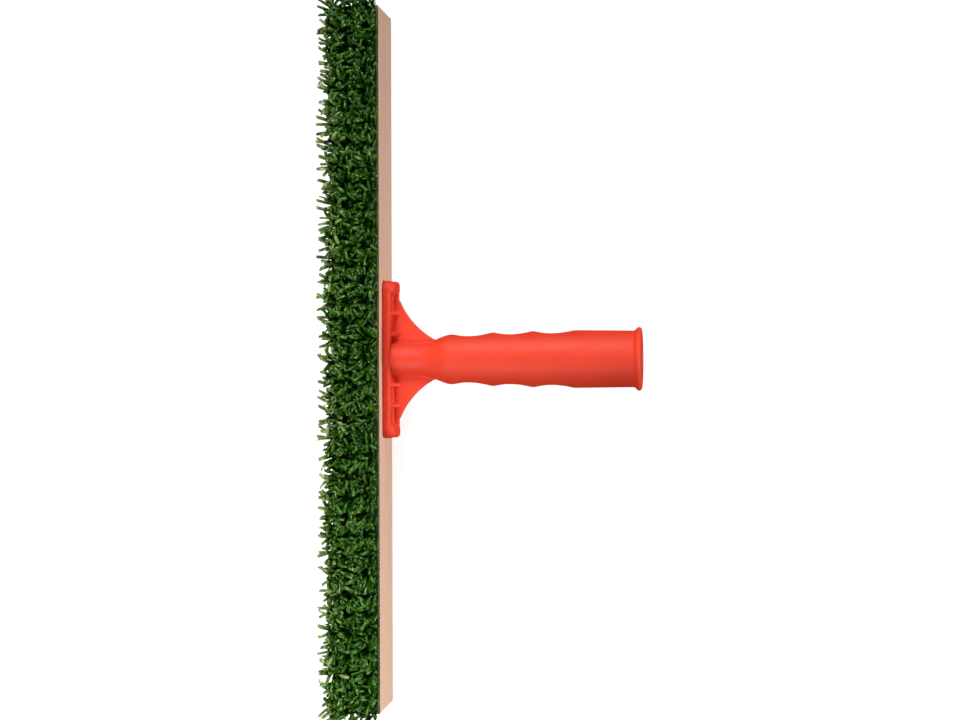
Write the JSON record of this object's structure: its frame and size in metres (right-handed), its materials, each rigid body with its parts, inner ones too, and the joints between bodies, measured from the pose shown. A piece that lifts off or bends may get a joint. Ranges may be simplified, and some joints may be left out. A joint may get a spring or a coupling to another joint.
{
  "type": "turf applicator",
  "caption": "Beech batten faced with green moulded turf, on a red plastic finger-grip handle whose hollow end takes a pole.",
  "frame": {"origin": "bottom centre of the bounding box, in the plane of the batten's bare face", "axes": "+Z out of the turf, +Y along the batten, +X along the handle and out of its pole socket"},
  "size_m": [0.181, 0.4072, 0.05],
  "materials": {
    "beech": "sanded, unvarnished",
    "turf_carrier": "matt, finely ribbed",
    "turf_plastic": "glossy, slightly translucent",
    "staple_wire": "bright zinc",
    "handle_plastic": "satin moulded",
    "zinc_steel": "bright zinc"
  },
  "bodies": {
    "root": {"batten": "beech", "turf_backing": "turf_carrier", "turf_pile": "turf_plastic", "turf_staples": "staple_wire", "handle": "handle_plastic", "handle_screws": "zinc_steel"}
  },
  "joints": []
}
